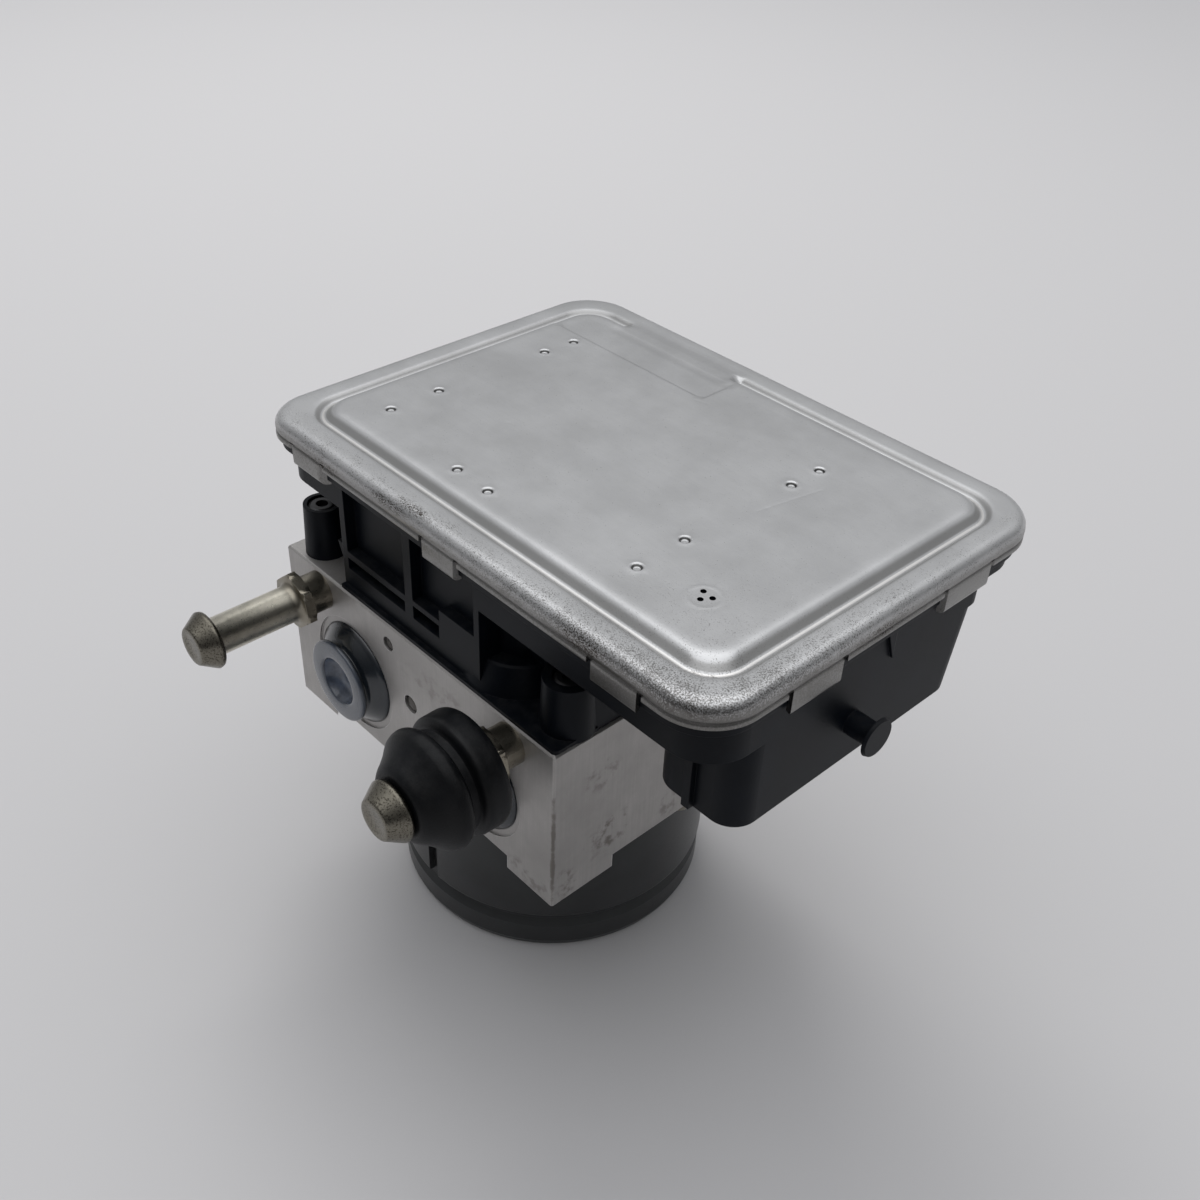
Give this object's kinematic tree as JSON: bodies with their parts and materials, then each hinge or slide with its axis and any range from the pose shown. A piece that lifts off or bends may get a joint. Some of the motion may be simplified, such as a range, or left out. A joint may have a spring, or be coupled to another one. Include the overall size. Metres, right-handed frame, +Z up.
{
  "type": "anti-lock brake hydraulic unit",
  "caption": "Anti-lock brake unit: machined valve block with pump motor below, overhanging controller with stamped cover and downward connector above, and side mounting pins.",
  "frame": {"origin": "centre of the pump motor's flat end face, which is the lowest face", "axes": "+Z up along the motor axis, -Y towards the mounting pins, +X towards the connector"},
  "size_m": [0.1495, 0.1389, 0.1329],
  "materials": {
    "block": "machined, light oxide",
    "cover_aluminium": "stamped sheet, dulled and scuffed",
    "motor_coat": "dark grey-green paint, satin",
    "dark_plastic": "glass-filled, near black",
    "cap_plastic": "dark blue moulded",
    "piston_plastic": "natural moulded",
    "bushing_rubber": "moulded, dusty",
    "seal_rubber": "moulded",
    "zinc_steel": "yellow zinc, dulled",
    "plug_steel": "turned",
    "plain_steel": "ground",
    "spring_steel": "drawn wire",
    "ferrite": "pressed, dark",
    "lamination": "stacked sheet",
    "enamel_wire": "enamelled wire with resin",
    "copper": "turned copper",
    "tin_brass": "tinned",
    "coil_plastic": "over-moulded winding",
    "board_green": "solder mask",
    "chip_black": "moulded package",
    "capacitor_can": "sleeved can",
    "membrane": "porous film"
  },
  "bodies": {
    "hydraulic_unit": {"accumulator_caps": "cap_plastic", "accumulator_spring_left": "spring_steel", "accumulator_spring_right": "spring_steel", "ball_plugs": "plug_steel", "board_capacitors": "capacitor_can", "board_chips": "chip_black", "brush_holder": "dark_plastic", "brushes": "ferrite", "circuit_board": "board_green", "coil_terminals": "copper", "connector_pins": "tin_brass", "cover": "cover_aluminium", "cover_seal": "seal_rubber", "ecu_gasket": "seal_rubber", "ecu_housing": "dark_plastic", "ecu_screws": "zinc_steel", "end_shield": "zinc_steel", "flux_ring": "motor_coat", "front_bearing": "plain_steel", "inlet_coils": "coil_plastic", "inlet_valve_bodies": "plain_steel", "magnets": "ferrite", "motor_connector": "dark_plastic", "motor_screws": "zinc_steel", "motor_yoke": "motor_coat", "mounting_pin_left": "zinc_steel", "mounting_pin_right": "zinc_steel", "outlet_coils": "coil_plastic", "outlet_valve_bodies": "plain_steel", "pump_cylinders": "plain_steel", "pump_plugs": "plug_steel", "pump_spring_left": "spring_steel", "pump_spring_right": "spring_steel", "rear_bearing": "plain_steel", "rubber_bushing": "bushing_rubber", "tail_bearing": "plain_steel", "valve_block": "block", "vent_membrane": "membrane"},
    "rotor": {"motor_shaft": "plain_steel", "armature_core": "lamination", "windings": "enamel_wire", "commutator": "copper"},
    "eccentric": {"eccentric_ring": "plain_steel"},
    "pump_piston_l": {"pump_piston_left": "plain_steel"},
    "pump_piston_r": {"pump_piston_right": "plain_steel"},
    "accumulator_l": {"accumulator_piston_left": "piston_plastic", "accumulator_seal_left": "seal_rubber"},
    "accumulator_r": {"accumulator_piston_right": "piston_plastic", "accumulator_seal_right": "seal_rubber"},
    "inlet_armature_1_body": {"inlet_armature_1": "plain_steel"},
    "inlet_armature_2_body": {"inlet_armature_2": "plain_steel"},
    "inlet_armature_3_body": {"inlet_armature_3": "plain_steel"},
    "inlet_armature_4_body": {"inlet_armature_4": "plain_steel"},
    "outlet_armature_1_body": {"outlet_armature_1": "plain_steel"},
    "outlet_armature_2_body": {"outlet_armature_2": "plain_steel"},
    "outlet_armature_3_body": {"outlet_armature_3": "plain_steel"},
    "outlet_armature_4_body": {"outlet_armature_4": "plain_steel"}
  },
  "joints": [
    {"name": "rotor_spin", "type": "hinge", "parent": "hydraulic_unit", "child": "rotor", "pos_m": [0, 0, 0.04], "axis": [0, 0, 1], "continuous": true},
    {"name": "eccentric_spin", "type": "hinge", "parent": "rotor", "child": "eccentric", "pos_m": [0.001, 0, 0.0685], "axis": [0, 0, 1], "continuous": true},
    {"name": "pump_piston_l_slide", "type": "slide", "parent": "hydraulic_unit", "child": "pump_piston_l", "axis": [-1, 0, 0], "range_m": [0, 0.002], "stiffness_N_per_m": 800, "springref_m": -0.002, "deforming": ["pump_spring_left"]},
    {"name": "pump_piston_r_slide", "type": "slide", "parent": "hydraulic_unit", "child": "pump_piston_r", "axis": [1, 0, 0], "range_m": [0, 0.002], "stiffness_N_per_m": 800, "springref_m": -0.002, "deforming": ["pump_spring_right"]},
    {"name": "accumulator_l_slide", "type": "slide", "parent": "hydraulic_unit", "child": "accumulator_l", "axis": [0, -1, 0], "range_m": [0, 0.005], "stiffness_N_per_m": 1500, "springref_m": -0.002, "deforming": ["accumulator_spring_left"]},
    {"name": "accumulator_r_slide", "type": "slide", "parent": "hydraulic_unit", "child": "accumulator_r", "axis": [0, -1, 0], "range_m": [0, 0.005], "stiffness_N_per_m": 1500, "springref_m": -0.002, "deforming": ["accumulator_spring_right"]},
    {"name": "inlet_valve_1", "type": "slide", "parent": "hydraulic_unit", "child": "inlet_armature_1_body", "axis": [0, 0, 1], "range_m": [-0.0004, 0], "stiffness_N_per_m": 300, "springref_m": 0.001},
    {"name": "inlet_valve_2", "type": "slide", "parent": "hydraulic_unit", "child": "inlet_armature_2_body", "axis": [0, 0, 1], "range_m": [-0.0004, 0], "stiffness_N_per_m": 300, "springref_m": 0.001},
    {"name": "inlet_valve_3", "type": "slide", "parent": "hydraulic_unit", "child": "inlet_armature_3_body", "axis": [0, 0, 1], "range_m": [-0.0004, 0], "stiffness_N_per_m": 300, "springref_m": 0.001},
    {"name": "inlet_valve_4", "type": "slide", "parent": "hydraulic_unit", "child": "inlet_armature_4_body", "axis": [0, 0, 1], "range_m": [-0.0004, 0], "stiffness_N_per_m": 300, "springref_m": 0.001},
    {"name": "outlet_valve_1", "type": "slide", "parent": "hydraulic_unit", "child": "outlet_armature_1_body", "axis": [0, 0, 1], "range_m": [0, 0.0004], "stiffness_N_per_m": 300, "springref_m": -0.001},
    {"name": "outlet_valve_2", "type": "slide", "parent": "hydraulic_unit", "child": "outlet_armature_2_body", "axis": [0, 0, 1], "range_m": [0, 0.0004], "stiffness_N_per_m": 300, "springref_m": -0.001},
    {"name": "outlet_valve_3", "type": "slide", "parent": "hydraulic_unit", "child": "outlet_armature_3_body", "axis": [0, 0, 1], "range_m": [0, 0.0004], "stiffness_N_per_m": 300, "springref_m": -0.001},
    {"name": "outlet_valve_4", "type": "slide", "parent": "hydraulic_unit", "child": "outlet_armature_4_body", "axis": [0, 0, 1], "range_m": [0, 0.0004], "stiffness_N_per_m": 300, "springref_m": -0.001}
  ],
  "couplings": [
    {"joint": "eccentric_spin", "follows": "rotor_spin", "ratio": -1}
  ]
}
